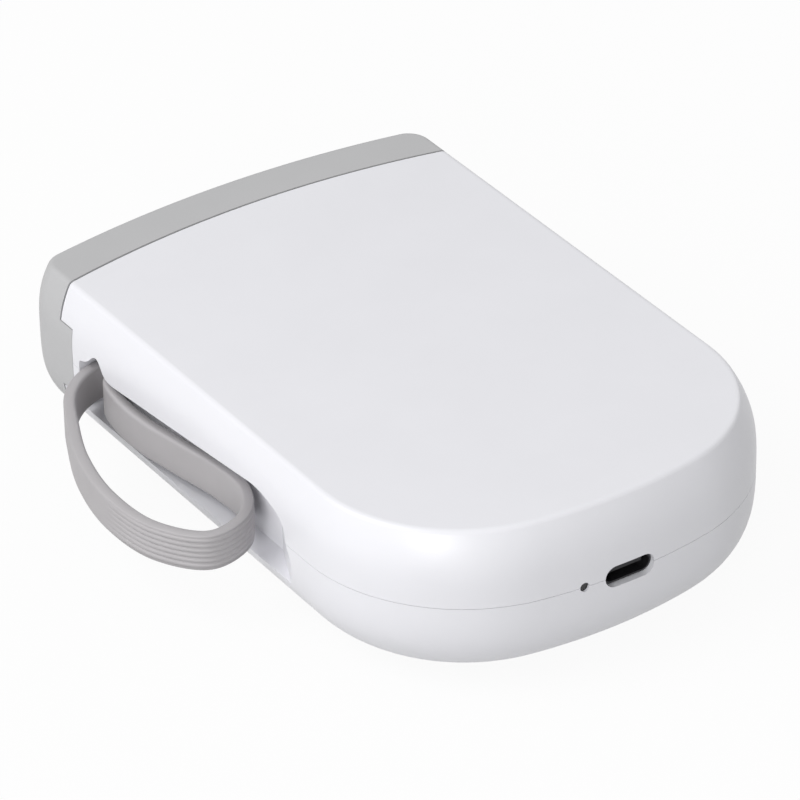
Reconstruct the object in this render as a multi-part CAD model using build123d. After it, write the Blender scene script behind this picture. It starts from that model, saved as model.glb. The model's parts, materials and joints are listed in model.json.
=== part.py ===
from build123d import *
from math import acos, atan, atan2, cos, hypot, pi, radians, sin, sqrt, tan
import os

# Portable label printer. Millimetres, +Z up, the base lies on Z = 0.
# X = 0 is the middle of the width and Y = 0 the middle of the length.
# The charging inlet is in the -Y end, the cover closes the +Y end, the strap is on the -X side.

# Overall form of the casing
body_width = 78.0
body_length = 118.0
body_height = 29.0
wall = 2.0
widest_z = 18.7
top_inset = 3.0
top_power = 2.46
base_inset = 10.7
base_power = 4.28
crown_rise = 0.5
crease_round = 1.2
far_bow = 3.9
far_corner = 8.0
far_corner_shrink_up = 1.7
far_corner_shrink_down = 0.5
far_corner_least = 1.0
near_bow = 9.7
near_corner = 29.0
half_width = body_width / 2
far_y = body_length / 2
near_y = -body_length / 2
roof_z = body_height - crown_rise - wall

# Where the casing divides
parting_z = 16.4
parting_gap = 0.08
lip_height = 1.5
lip_thickness = 0.8
lip_inset = 0.2
lip_clearance = 0.1
groove_depth = 2.8
cover_depth = 10.65
seam_gap = 0.42
moving_gap = 0.25
ear_gap = 0.12

# Cover: ears, hinge and catch
ear_low_z = 10.5
ear_high_z = body_height - 6.5
ear_edge_y = far_y - 18.6
hinge_y = far_y - 17.7
hinge_inset = 3.0
hinge_x = half_width - hinge_inset
hinge_pin_radius = 0.9
hinge_knuckle = 2.75
hinge_pin_low_z = 7.4
hinge_pin_high_z = roof_z - 0.7
hinge_lug = 2.6
cover_opening = 85.0
running_gap = 0.04
ridge_height = 1.1
ridge_half = 0.7
ridge_y = ear_edge_y + 1.0

# Strap, its bar and the recess that it lies in
strap_bar_x = -half_width + 3.5
strap_bar_y = far_y - 24.6
strap_bar_radius = 1.1
strap_bar_hold = 3.0
strap_thickness = 2.0
strap_width = 6.5
strap_mid_z = 14.3
strap_eye_gap = 0.1
strap_rib_count = 6
strap_rib_pitch = 0.9
strap_groove = 0.3
recess_floor_x = -half_width + 4.6
recess_mouth_x = -half_width - 0.5
recess_wall = 1.5
recess_low_z = 9.0
recess_top_z = 18.3
recess_far_y = strap_bar_y + 3.9

# Charging inlet and status light
inlet_width = 8.94
inlet_height = 3.26
inlet_length = 7.35
inlet_recess = 1.0
inlet_hole_width = 9.1
inlet_hole_height = 3.8
inlet_skin = 0.3
light_x = -8.2
light_radius = 0.8
light_recess = 0.75

# Label roll, its tray and the web of labels
label_low_z = 6.6
plate_gap = 0.6
gear_room = 2.8
gear_gap = 0.2
frame_plate = 1.3
gear_low_z = roof_z - gear_room
frame_top_z = gear_low_z - gear_gap
frame_roof_z = frame_top_z - frame_plate
label_high_z = frame_roof_z - plate_gap
label_width = label_high_z - label_low_z
roll_radius = 18.0
roll_x = 6.2
roll_y = far_y - 37.0
core_radius = 7.0
core_wall = 1.2
tray_low_z = 4.4
tray_floor = 1.2
tray_wall = 1.2
tray_roll_gap = 1.3
tray_high_z = label_high_z - 0.6
tray_inside = roll_radius + tray_roll_gap
tray_outside = tray_inside + tray_wall
tray_back_y = roll_y - tray_outside
web_thickness = 0.2

# Print unit
platen_x = -17.5
platen_y = far_y - 19.0
platen_radius = 4.0
platen_shaft_radius = 1.5
bush_radius = 2.5
frame_left_x = -30.4
frame_right_x = -11.5
frame_back_y = far_y - 52.5
frame_front_y = far_y - 12.5
frame_side = 1.0
frame_low_z = tray_low_z
frame_floor_z = frame_low_z + frame_plate
head_clearance = 0.08
head_plate_depth = 0.6
heat_sink_depth = 2.4
head_bracket_depth = 1.0
head_length = 10.0
head_over = 0.2
head_pivot_x = -27.2
head_pivot_y = platen_y - 9.0
head_pin_radius = 1.0
head_knuckle = 1.7
connector_size = 5.0
spring_wire = 0.4
spring_radius = 1.6
spring_turns = 4
web_x = platen_x - platen_radius - web_thickness / 2 - head_clearance
head_face_x = web_x - web_thickness / 2 - head_clearance

# Feed motor and gears
gear_module = 0.5
pressure_angle = 25.0
tooth_top = 0.8
tooth_depth = 1.15
backlash = 0.09
pinion_teeth = 12
idler_large_teeth = 36
idler_small_teeth = 14
platen_teeth = 30
motor_x = -21.2
motor_y = platen_y - 22.5
motor_radius = 7.5
motor_height = 11.0
motor_shaft_radius = 0.75
motor_ear_reach = 8.8
motor_ear_turn = 120.0
idler_post_radius = 1.25
gear_thickness = 1.05
gear_high_z = gear_low_z + gear_thickness + gear_gap

# Electronics
board_thickness = 1.2
board_left_x = -22.5
board_right_x = 30.0
board_far_y = tray_back_y - 3.5
board_near_y = near_y + 5.4
board_waist_y = near_y + 34.0
board_shoulder_y = near_y + 17.0
board_nose_half = 20.0
board_tip_half = 13.5
board_top_z = parting_z - inlet_height / 2
board_low_z = board_top_z - board_thickness
battery_half_width = 20.0
battery_near_y = near_y + 12.5
battery_far_y = board_far_y - 11.5
battery_low_z = 2.6
battery_height = 7.5
lead_radius = 0.5

# Power button
button_y = board_far_y - 10.0
button_length = 11.0
button_height = 4.6
button_proud = 0.4
button_gap = 0.15
button_flange = 1.0
button_flange_depth = 0.8
button_travel = 0.5
plunger_radius = 0.9

# Screws
screw_radius = 1.0
screw_head = 1.9
screw_head_height = 1.2
boss_radius = 2.5
case_screw_seat_z = 5.0
case_screw_length = 15.0
case_screw_places = [
    (25.5, near_y + 23.0), (-25.5, near_y + 23.0),
    (24.6, roll_y - 17.8), (-27.0, frame_back_y - 10.0),
]
board_screw_places = [
    (-16.2, board_far_y - 3.8), (26.0, board_far_y - 3.8),
    (12.0, board_near_y + 4.2), (-12.0, board_near_y + 4.2),
]
tray_screw_places = [
    (-8.4, roll_y - 17.6), (22.3, frame_front_y - 4.5), (-7.6, frame_front_y - 4.5),
]
frame_screw_places = [
    (-27.2, frame_back_y + 3.2), (-13.8, frame_back_y + 3.9), (-13.6, frame_front_y - 1.6),
]

# Arcs of the plan outline
far_radius = (half_width**2 + far_bow**2) / (2 * far_bow)
near_radius = (half_width**2 + near_bow**2) / (2 * near_bow)
far_centre_y = far_y - far_radius
near_centre_y = near_y + near_radius
seam_radius = far_radius - cover_depth


def block(x, y, z):
    """Box between two values on each axis."""
    size = Box(x[1] - x[0], y[1] - y[0], z[1] - z[0])
    return Pos((x[0] + x[1]) / 2, (y[0] + y[1]) / 2, (z[0] + z[1]) / 2) * size


def post(x, y, low, high, radius):
    """Upright cylinder."""
    return Pos(x, y, (low + high) / 2) * Cylinder(radius, high - low)


def prism(points, low, high):
    """Upright prism on a plan outline."""
    return extrude(Pos(0, 0, low) * make_face(Polyline(*points, close=True)), high - low)


def inset(z):
    """How far the side has drawn in from the widest line, at a height."""
    if z < widest_z:
        return base_inset * ((widest_z - z) / widest_z) ** base_power
    return top_inset * ((z - widest_z) / (body_height - widest_z)) ** top_power


def lean(z):
    """Angle of the side from upright at a height, positive where it leans inwards."""
    if z < widest_z:
        share = (widest_z - z) / widest_z
        return -atan(base_inset * base_power / widest_z * share ** (base_power - 1))
    rise = body_height - widest_z
    return atan(top_inset * top_power / rise * ((z - widest_z) / rise) ** (top_power - 1))


def seam_y(x, radius):
    """Y of the seam arc at a distance from the middle of the width."""
    return far_centre_y + sqrt(radius**2 - x**2)


def corner_arc(centre_x, centre_y, radius, start, end):
    """Arc about a corner's centre between two angles."""
    angles = (start, (start + end) / 2, end)
    return ThreePointArc(*[(centre_x + radius * cos(a), centre_y + radius * sin(a)) for a in angles])


def plan_face(off, z):
    """Plan outline of the casing, drawn in by a distance: eight edges, all tangent."""
    shrink = far_corner_shrink_up if z > widest_z else far_corner_shrink_down
    half = half_width - off
    far_arc = far_radius - off
    near_arc = near_radius - off
    far_round = far_corner - shrink * inset(z)
    far_round = max(far_round - (off - inset(z)), far_corner_least)
    near_round = near_corner - off
    far_cx = half - far_round
    far_cy = far_centre_y + sqrt((far_arc - far_round) ** 2 - far_cx**2)
    near_cx = half - near_round
    near_cy = near_centre_y - sqrt((near_arc - near_round) ** 2 - near_cx**2)
    far_turn = atan2(far_cy - far_centre_y, far_cx)
    near_turn = atan2(near_cy - near_centre_y, near_cx)
    edges = [
        corner_arc(0, far_centre_y, far_arc, pi - far_turn, far_turn),
        corner_arc(far_cx, far_cy, far_round, far_turn, 0),
        Line((half, far_cy), (half, near_cy)),
        corner_arc(near_cx, near_cy, near_round, 0, near_turn),
        corner_arc(0, near_centre_y, near_arc, near_turn, -pi - near_turn),
        corner_arc(-near_cx, near_cy, near_round, -pi - near_turn, -pi),
        Line((-half, near_cy), (-half, far_cy)),
        corner_arc(-far_cx, far_cy, far_round, pi, pi - far_turn),
    ]
    return Pos(0, 0, z) * make_face(edges)


def body_form(depth):
    """Barrel-sided form of the casing, inside its outer surface by a wall's depth."""
    rise = body_height - widest_z
    levels = [widest_z * share for share in (0, 0.03, 0.08, 0.16, 0.27, 0.42, 0.62, 0.82)]
    levels += [widest_z + rise * share for share in (0, 0.3, 0.6, 0.85, 1.06)]
    faces = [
        plan_face(inset(z) + depth * cos(lean(z)), z - depth * sin(lean(z))) for z in levels
    ]
    return loft(faces)


def outer_form():
    """Outside of the closed casing, with its slightly crowned top and softened top edge."""
    reach = half_width + 5
    sag = crown_rise * (reach / half_width) ** 2
    crown = ThreePointArc(
        (-reach, body_height - sag), (0, body_height), (reach, body_height - sag)
    )
    sides = Polyline((reach, body_height - sag), (reach, 0), (-reach, 0), (-reach, body_height - sag))
    under_crown = extrude(Plane.XZ * make_face([crown, sides]), body_length, both=True)
    form = body_form(0) & under_crown
    top_edges = form.faces().sort_by(Axis.Z)[-1].edges()
    return fillet(top_edges, crease_round)


def inner_form():
    """Space inside the walls."""
    reach = body_length
    slab = block((-reach, reach), (-reach, reach), (wall, roof_z))
    return body_form(wall) & slab


def within_seam(radius):
    """Everything on the casing's side of an arc that runs parallel to the far end."""
    return Pos(0, far_centre_y, body_height / 2) * Cylinder(radius, 2 * body_height)


def recess_outline(x, far_top, near_top, grow):
    """Side outline of the recess at one X: a straight floor, far end and top, two curved corners."""
    low = recess_low_z - grow
    far = [Vector(y + grow * turn, z + grow * (1 - turn)) for (y, z), turn in zip(
        far_top, (1, 0.5, 0, 0, 0, 0)
    )]
    near = [Vector(y - grow * turn, z + grow * (1 - turn)) for (y, z), turn in zip(
        near_top, (0, 0.3, 0.8, 1, 1)
    )]
    far_foot = Vector(far[0].X, low)
    near_foot = Vector(near[-1].X, low)
    edges = [
        Line(far_foot, far[0]),
        Spline(*far, tangents=[(0, 1), (-1, 0)]),
        Line(far[-1], near[0]),
        Spline(*near, tangents=[near[0] - far[-1], near_foot - near[-1]]),
        Line(near[-1], near_foot),
        Line(near_foot, far_foot),
    ]
    return Plane(origin=(x, 0, 0), x_dir=(0, 1, 0), z_dir=(1, 0, 0)) * make_face(edges)


def recess_form(grow):
    """Scooped recess in the left side; with a growth it is the wall that lines it."""
    far, top, near = recess_far_y, recess_top_z, strap_bar_y
    mouth = recess_outline(
        recess_mouth_x,
        [(far, top - 0.8), (far - 1.2, top + 0.2), (far - 3.3, top + 1.5), (far - 5.2, top + 3.1),
         (far - 7.6, top + 0.8), (far - 10.3, top)],
        [(near - 47.0, top + 4.0), (near - 53.5, top + 3.4), (near - 57.3, top + 1.4),
         (near - 58.3, top - 2.0), (near - 59.9, top - 7.7)],
        grow,
    )
    floor = recess_outline(
        recess_floor_x + grow,
        [(far, top - 1.6), (far - 0.5, top - 0.5), (far - 1.6, top), (far - 4.0, top),
         (far - 7.0, top), (far - 10.3, top)],
        [(near - 42.0, top + 2.6), (near - 45.5, top + 2.2), (near - 47.2, top + 0.6),
         (near - 48.0, top - 2.0), (near - 49.0, top - 7.7)],
        grow,
    )
    form = loft([mouth, floor], ruled=True)
    eye = strap_bar_radius + strap_eye_gap + strap_thickness + moving_gap + grow
    return form + post(strap_bar_x, strap_bar_y, recess_low_z - grow, top + grow, eye)


def pill(length, height, depth):
    """Slot shape with round ends lying along X, standing on XZ, from Y = 0 to Y = depth."""
    return extrude(Plane.XZ * SlotOverall(length, height), -depth)


def side_pill(length, height, x0, x1, y, z):
    """Slot shape with round ends lying along Y, between two X values."""
    face = Plane.YZ * SlotOverall(length, height)
    return Pos(x0, y, z) * extrude(face, x1 - x0)


def inlet_cut():
    """Hole for the charging inlet."""
    hole = pill(inlet_hole_width, inlet_hole_height, 3 * wall)
    return Pos(0, near_y - wall, parting_z) * hole


def light_cut():
    """Small round hole beside the inlet."""
    return Pos(light_x, near_y, parting_z) * Rot(90, 0, 0) * Cylinder(light_radius, 4 * wall)


def button_cut():
    """Opening for the power button in the right side."""
    return side_pill(
        button_length + 2 * button_gap, button_height + 2 * button_gap,
        half_width - 2 * wall, half_width + wall, button_y, parting_z,
    )


def ear_pockets():
    """Clearance in the casing for the cover's two ears."""
    low = ear_low_z - moving_gap
    high = ear_high_z + moving_gap
    left_x = (-half_width - 1, -half_width + wall + 1)
    left = block(left_x, (ear_edge_y - ear_gap, far_y), (low, high))
    swing = hinge_inset / cos(radians(cover_opening / 2)) + moving_gap / 2
    right = post(hinge_x, hinge_y, low, high, swing)
    right += block((hinge_x - swing, half_width + 1), (hinge_y, far_y), (low, high))
    return left + right


def case_bosses(low, high, radius):
    """Screw posts between two heights."""
    bosses = post(*case_screw_places[0], low, high, radius)
    for x, y in case_screw_places[1:]:
        bosses += post(x, y, low, high, radius)
    return bosses


def lip_ring(gap):
    """Ring inside the wall that stands on the lower shell and keys the upper one."""
    outside = wall - lip_inset - lip_thickness - gap
    inside = wall - lip_inset if gap == 0 else groove_depth
    low = parting_z - lip_height
    high = parting_z + lip_height + gap
    ring = extrude(plan_face(outside, low) - plan_face(inside, low), high - low)
    return ring


def make_shells(outer, inner):
    """Upper and lower halves of the casing."""
    casing = outer - inner
    casing += recess_form(recess_wall) & outer
    bar_boss = strap_bar_radius + recess_wall
    for low, high in (
        (recess_low_z - strap_bar_hold - 1, recess_low_z),
        (recess_top_z, recess_top_z + strap_bar_hold + 2),
    ):
        casing += post(strap_bar_x, strap_bar_y, low, high, bar_boss) & outer
    for low, high in (
        (hinge_pin_low_z - 1, ear_low_z - moving_gap),
        (ear_high_z + moving_gap, roof_z),
    ):
        casing += post(hinge_x, hinge_y, low, high, hinge_lug) & outer
    cuts = [
        recess_form(0),
        ear_pockets(),
        post(hinge_x, hinge_y, hinge_pin_low_z, hinge_pin_high_z, hinge_pin_radius),
        post(strap_bar_x, strap_bar_y, recess_low_z - strap_bar_hold,
             recess_top_z + strap_bar_hold, strap_bar_radius),
    ]
    for cut in cuts:
        casing -= cut
    casing &= within_seam(seam_radius - seam_gap)
    reach = body_length
    above = block((-reach, reach), (-reach, reach), (parting_z + parting_gap / 2, body_height + 1))
    below = block((-reach, reach), (-reach, reach), (-1, parting_z - parting_gap / 2))
    keep_clear = [recess_form(recess_wall + lip_clearance), ear_pockets()]
    keep_clear.append(block((-reach, reach), (ear_edge_y - 4, reach), (0, body_height)))
    button_reach = button_length / 2 + 2 * button_flange
    keep_clear.append(block(
        (half_width - 3 * wall, half_width), (button_y - button_reach, button_y + button_reach),
        (0, body_height),
    ))
    nose = inlet_width + 4 * wall
    keep_clear.append(block((-nose, nose), (near_y - 1, near_y + 4 * wall), (0, body_height)))
    lip = lip_ring(0)
    groove = lip_ring(lip_clearance)
    for clear in keep_clear:
        lip -= clear
        groove -= clear
    upper = (casing & above) - groove
    upper += case_bosses(parting_z + parting_gap / 2, roof_z, boss_radius) & outer
    upper -= case_bosses(parting_z, case_screw_seat_z + case_screw_length + 1, screw_radius)
    lower = (casing & below) + lip
    stands = case_bosses(wall / 2, parting_z - parting_gap / 2, boss_radius)
    stands += case_bosses(wall / 2, case_screw_seat_z + 1, boss_radius + 0.4)
    for places, top in (
        (board_screw_places, board_low_z),
        (tray_screw_places, tray_low_z),
        (frame_screw_places, frame_low_z),
    ):
        for x, y in places:
            stands += post(x, y, wall / 2, top, boss_radius - 0.3)
    lower += stands & outer
    lower -= case_bosses(-1, parting_z, screw_radius + lip_clearance)
    lower -= case_bosses(-1, case_screw_seat_z, screw_head + lip_clearance)
    for places, top, depth in (
        (board_screw_places, board_low_z, 6.0),
        (tray_screw_places, tray_low_z, tray_low_z - wall / 2),
        (frame_screw_places, frame_low_z, frame_low_z - wall / 2),
    ):
        for x, y in places:
            lower -= post(x, y, top - depth, top + 1, screw_radius)
    for cut in (inlet_cut(), light_cut(), button_cut()):
        upper -= cut
        lower -= cut
    return upper, lower


def hinge_relief(low, high, steps):
    """Round space that the cover's inner edge is cut back by, so that it swings clear."""
    points = [(0, low)]
    for step in range(steps + 1):
        z = low + (high - low) * step / steps
        side = max(half_width - inset(min(z, body_height)) - hinge_x, 0)
        edge = seam_y(hinge_x + side, seam_radius) - hinge_y
        points.append((hypot(side, edge) + lip_clearance, z))
    points.append((0, high))
    profile = make_face(Polyline(*points, close=True))
    return Pos(hinge_x, hinge_y, 0) * revolve(Plane.XZ * profile, Axis.Z)


def make_cover(outer, inner):
    """Grey end cover: hollow cap, pull ear with its catch ridge, hinge knuckle."""
    skin = outer - inner
    cap = skin - within_seam(seam_radius)
    right_half = block((0, body_width), (0, body_length), (-1, body_height + 1))
    for low, high, steps in ((-0.5, ear_low_z, 6), (ear_high_z, body_height + 0.5, 6)):
        cap -= hinge_relief(low, high, steps) & right_half
    left_x = (-half_width - 1, -half_width + 2 * wall)
    ear = skin & block(left_x, (ear_edge_y, far_y - cover_depth), (ear_low_z, ear_high_z))
    cap += ear
    ridge_foot = -half_width + wall - 0.1
    ridge = prism(
        [(ridge_foot, ridge_y - ridge_half), (ridge_foot, ridge_y + ridge_half),
         (ridge_foot + ridge_height, ridge_y)],
        ear_low_z + 2, ear_high_z - 2,
    )
    cap += ridge
    knuckle = post(hinge_x, hinge_y, ear_low_z, ear_high_z, hinge_knuckle)
    web = block(
        (hinge_x - hinge_knuckle, half_width + 1),
        (hinge_y, seam_y(half_width - wall, seam_radius) + wall / 2),
        (ear_low_z, ear_high_z),
    )
    cap += (knuckle + web) & outer
    cap -= post(hinge_x, hinge_y, 0, body_height, hinge_pin_radius + running_gap)
    slit_low = label_low_z - 0.6
    slit_high = label_high_z + 0.6
    cap -= block((web_x - 1.1, web_x + 2.4), (far_y - 3 * wall, far_y + 1), (slit_low, slit_high))
    return cap


def make_guide(inner):
    """Funnel inside the cover that leads the labels to the slit, and the toothed tear blade."""
    blade_x = web_x + 1.6
    blade_thickness = 0.5
    back_y = far_y - wall - 5.0
    low = label_low_z - 0.6
    high = label_high_z + 0.6
    guide = block((web_x - 4.5, web_x + 4.0), (back_y, far_y), (low - 1.2, high + 1.2))
    guide -= block((web_x - 2.2, blade_x), (back_y - 1, far_y), (low, high))
    guide -= block((blade_x, blade_x + blade_thickness), (back_y + 1, far_y), (low, high))
    guide &= inner
    pitch = 1.0
    count = int((high - low) / pitch)
    edge = [(back_y + 1, low)]
    for tooth in range(count):
        z = low + tooth * pitch
        reach = far_radius - inset(z) - 0.3
        tip_y = far_centre_y + sqrt(reach**2 - blade_x**2)
        edge += [(tip_y - 0.6, z), (tip_y, z + pitch / 2)]
    edge += [(tip_y - 0.6, low + count * pitch), (back_y + 1, low + count * pitch)]
    face = Plane.YZ * make_face(Polyline(*edge, close=True))
    blade = Pos(blade_x, 0, 0) * extrude(face, blade_thickness)
    return guide, blade


def make_catch():
    """Bent leaf spring that holds the ear's ridge, with its screw."""
    side_x = frame_left_x - 0.15
    tip_x = -half_width + wall + 0.75
    line = Polyline(
        (side_x, ridge_y - 0.6), (side_x, frame_front_y - 0.9), (side_x - 1.5, frame_front_y),
        (tip_x, ridge_y + 1.75), (tip_x + 1.7, ridge_y + 0.2),
    )
    face = trace(line, 0.25)
    mid_z = (ear_low_z + ear_high_z) / 2
    leaf = extrude(Pos(0, 0, mid_z - 3) * face, 6)
    hole_y = ridge_y + 1.2
    leaf -= Pos(side_x, hole_y, mid_z) * Rot(0, 90, 0) * Cylinder(0.8, 1)
    head = Pos(side_x - 0.125 - 0.35, hole_y, mid_z) * Rot(0, 90, 0) * Cylinder(1.4, 0.7)
    shank = Pos(frame_left_x, hole_y, mid_z) * Rot(0, 90, 0) * Cylinder(0.7, 1.6)
    return leaf, head + shank


def strap_line():
    """Middle line of the strap's loop in plan, from its outer strand round to its inner one."""
    mid = strap_bar_radius + strap_eye_gap + strap_thickness / 2
    turns = [
        (0, mid), (-4.7, 0.9), (-9.1, -2.7), (-13.2, -10.2), (-17.1, -19.9), (-19.1, -31.4),
        (-17.7, -42.4), (-12.1, -49.3), (-5.0, -47.7), (-0.9, -41.4), (-0.8, -33.4),
        (-2.3, -24.4), (-3.6, -15.4), (-3.7, -7.4), (-mid, 0),
    ]
    return Spline(*[(strap_bar_x + x, strap_bar_y + y) for x, y in turns])


def strap_side(line, shift, start=0.0, end=1.0, steps=48):
    """Points beside the strap's middle line."""
    points = []
    for step in range(steps + 1):
        share = start + (end - start) * step / steps
        along = line % share
        points.append(line @ share + Vector(along.Y, -along.X, 0) * shift)
    return points


def make_strap():
    """Silicone loop with an eye round its bar and grooves round the free end."""
    line = strap_line()
    half = strap_thickness / 2
    one = strap_side(line, half)
    other = strap_side(line, -half)
    outline = [
        Spline(*one), Line(one[-1], other[-1]), Spline(*other[::-1]), Line(other[0], one[0]),
    ]
    low = strap_mid_z - strap_width / 2
    strap = extrude(Pos(0, 0, low) * make_face(outline), strap_width)
    eye_bore = strap_bar_radius + strap_eye_gap
    eye = post(strap_bar_x, strap_bar_y, low, low + strap_width, eye_bore + strap_thickness)
    strap += eye
    strap -= post(strap_bar_x, strap_bar_y, low - 1, low + strap_width + 1, eye_bore)
    ribbed = strap_side(line, -half, 0.42, 0.66) + strap_side(line, 1 - half, 0.66, 0.42)
    ribbed_area = make_face(Polyline(*ribbed, close=True))
    kept_area = make_face(Polyline(
        *strap_side(line, strap_groove - half, 0.41, 0.67), *strap_side(line, 1, 0.67, 0.41),
        close=True,
    ))
    for groove in range(strap_rib_count + 1):
        z = strap_mid_z + (groove - strap_rib_count / 2) * strap_rib_pitch
        band = extrude(Pos(0, 0, z - 0.15) * (ribbed_area - kept_area), 0.3)
        strap -= band
    return strap


def make_inlet():
    """Charging inlet: stamped shell and contact tongue."""
    front = near_y + inlet_recess
    shell = pill(inlet_width, inlet_height, inlet_length)
    shell -= pill(inlet_width - 2 * inlet_skin, inlet_height - 2 * inlet_skin, inlet_length - 0.8)
    tongue_y = inlet_length - 0.8
    tongue = block((-3.35, 3.35), (0.9, tongue_y), (-0.35, 0.35))
    return [Pos(0, front, parting_z) * item for item in (shell, tongue)]


def make_status_light():
    """Clear pipe behind the small hole, and the lamp that lights it."""
    turned = Rot(-90, 0, 0)
    inside_y = near_y + wall + 0.75
    lamp_y = board_near_y + 0.3
    front = near_y + light_recess
    stem = Pos(light_x, (front + lamp_y) / 2, parting_z) * turned
    stem *= Cylinder(light_radius - 0.05, lamp_y - front)
    collar = Pos(light_x, inside_y + 0.3, parting_z) * turned * Cylinder(light_radius + 0.7, 0.6)
    lamp = block(
        (light_x - 0.9, light_x + 0.9), (lamp_y + 0.05, lamp_y + 1.2), (board_top_z, parting_z + 1)
    )
    return stem + collar, lamp


def make_button():
    """Power button, with its plunger and the switch that it works."""
    inside_x = half_width - wall
    flange_x = inside_x - 0.2
    face = side_pill(button_length, button_height, flange_x - 0.1, half_width + button_proud,
                     button_y, parting_z)
    rim = face.faces().sort_by(Axis.X)[-1].edges()
    face = fillet(rim, 0.35)
    flange = side_pill(
        button_length + 2 * button_flange, button_height + 2 * button_flange,
        flange_x - button_flange_depth, flange_x, button_y, parting_z,
    )
    nub_x = flange_x - button_flange_depth - 0.6
    nub = block((nub_x, flange_x), (button_y - 1.5, button_y + 1.5), (parting_z - 1, parting_z + 1))
    button = face + flange + nub
    switch_x = board_right_x + 2.2
    room = button_travel + 0.3
    plunger = Pos((switch_x - 1 + nub_x) / 2, button_y, parting_z) * Rot(0, 90, 0)
    plunger *= Cylinder(plunger_radius, nub_x - switch_x + 1)
    body = block((board_right_x - 3.2, switch_x), (button_y - 3, button_y + 3),
                 (board_top_z, board_top_z + 3.4))
    bore = Pos(switch_x - 1 - room / 2 + 0.5, button_y, parting_z) * Rot(0, 90, 0)
    body -= bore * Cylinder(plunger_radius + running_gap, room + 1.2)
    return button, plunger, body


def make_board():
    """Main board and what is soldered on it."""
    plan = [
        (board_left_x, board_far_y), (board_right_x, board_far_y), (board_right_x, board_waist_y),
        (board_nose_half, board_waist_y), (board_nose_half, board_shoulder_y),
        (board_tip_half, board_near_y), (-board_tip_half, board_near_y),
        (-board_nose_half, board_shoulder_y), (-board_nose_half, board_waist_y),
        (board_left_x, board_waist_y),
    ]
    board = prism(plan, board_low_z, board_top_z)
    for x, y in board_screw_places:
        board -= post(x, y, board_low_z - 1, board_top_z + 1, screw_radius + lip_clearance)
    chips = []
    for x, y, length, breadth, height in (
        (-6.0, board_far_y - 15.0, 7.0, 7.0, 0.9), (8.0, board_far_y - 12.0, 12.0, 15.0, 2.0),
        (-9.0, board_near_y + 19.5, 5.0, 5.0, 1.0), (3.0, board_near_y + 17.5, 4.0, 4.0, 2.0),
        (10.0, board_near_y + 13.5, 3.2, 1.6, 1.4), (-14.0, board_near_y + 9.5, 3.2, 1.6, 1.4),
        (-15.5, board_far_y - 22.0, 3.0, 6.0, 1.6), (20.0, board_far_y - 18.0, 6.0, 4.5, 1.2),
    ):
        chips.append(block(
            (x - length / 2, x + length / 2), (y - breadth / 2, y + breadth / 2),
            (board_top_z, board_top_z + height),
        ))
    return board, chips


def make_battery():
    """Pouch cell on its pad, its socket on the board and the two leads between."""
    low = battery_low_z
    cell = block((-battery_half_width, battery_half_width), (battery_near_y, battery_far_y),
                 (low, low + battery_height))
    cell = fillet(cell.edges().filter_by(Axis.Y), 2.2)
    pad_half = battery_half_width - 6
    pad = block((-pad_half, pad_half), (battery_near_y + 6, battery_far_y - 6), (wall, low))
    socket_y = board_far_y - 4.5
    socket = block((-8.0, -2.0), (socket_y, board_far_y), (board_low_z - 3.2, board_low_z))
    start_z = low + battery_height / 2 + 1
    end_z = board_low_z - 1.6
    bend_y = (battery_far_y + socket_y) / 2
    leads = []
    for x in (-6.2, -3.8):
        places = [
            (x, battery_far_y, start_z), (x, bend_y - 1.2, start_z),
            (x, bend_y + 1.2, end_z), (x, socket_y, end_z),
        ]
        route = FilletPolyline(*places, radius=1.6)
        leads.append(sweep(Plane(route @ 0, z_dir=route % 0) * Circle(lead_radius), route))
    return cell, pad, socket, leads


def make_tray():
    """Floor and side wall of the bay that the label roll drops into."""
    inside, outside = tray_inside, tray_outside
    left = frame_right_x + 0.3
    right = roll_x + outside
    front = frame_front_y - 1.2
    floor_z = tray_low_z + tray_floor
    tray = block((left, right), (tray_back_y, front), (tray_low_z, floor_z))
    start = radians(215)
    turn = (start + 2 * pi) / 2

    def on_ring(radius, angle):
        return (roll_x + radius * cos(angle), roll_y + radius * sin(angle))

    edges = [
        ThreePointArc(on_ring(outside, start), on_ring(outside, turn), on_ring(outside, 0)),
        Line((right, roll_y), (right, front)),
        Line((right, front), (right - tray_wall, front)),
        Line((right - tray_wall, front), (right - tray_wall, roll_y)),
        ThreePointArc(on_ring(inside, 0), on_ring(inside, turn), on_ring(inside, start)),
        Line(on_ring(inside, start), on_ring(outside, start)),
    ]
    tray += extrude(Pos(0, 0, floor_z - 0.2) * make_face(edges), tray_high_z - floor_z + 0.2)
    for x, y in tray_screw_places:
        tray -= post(x, y, tray_low_z - 1, floor_z + 1, screw_radius + lip_clearance)
    for x, y in case_screw_places:
        tray -= post(x, y, tray_low_z - 1, floor_z + 1, boss_radius + 0.8)
    return tray


def web_tangent():
    """Where the web leaves the roll, and the angle it leaves at."""
    apart = hypot(platen_x - roll_x, platen_y - roll_y)
    towards = atan2(platen_y - roll_y, platen_x - roll_x)
    turn = acos((roll_radius - platen_radius) / apart)
    return towards + turn


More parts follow.
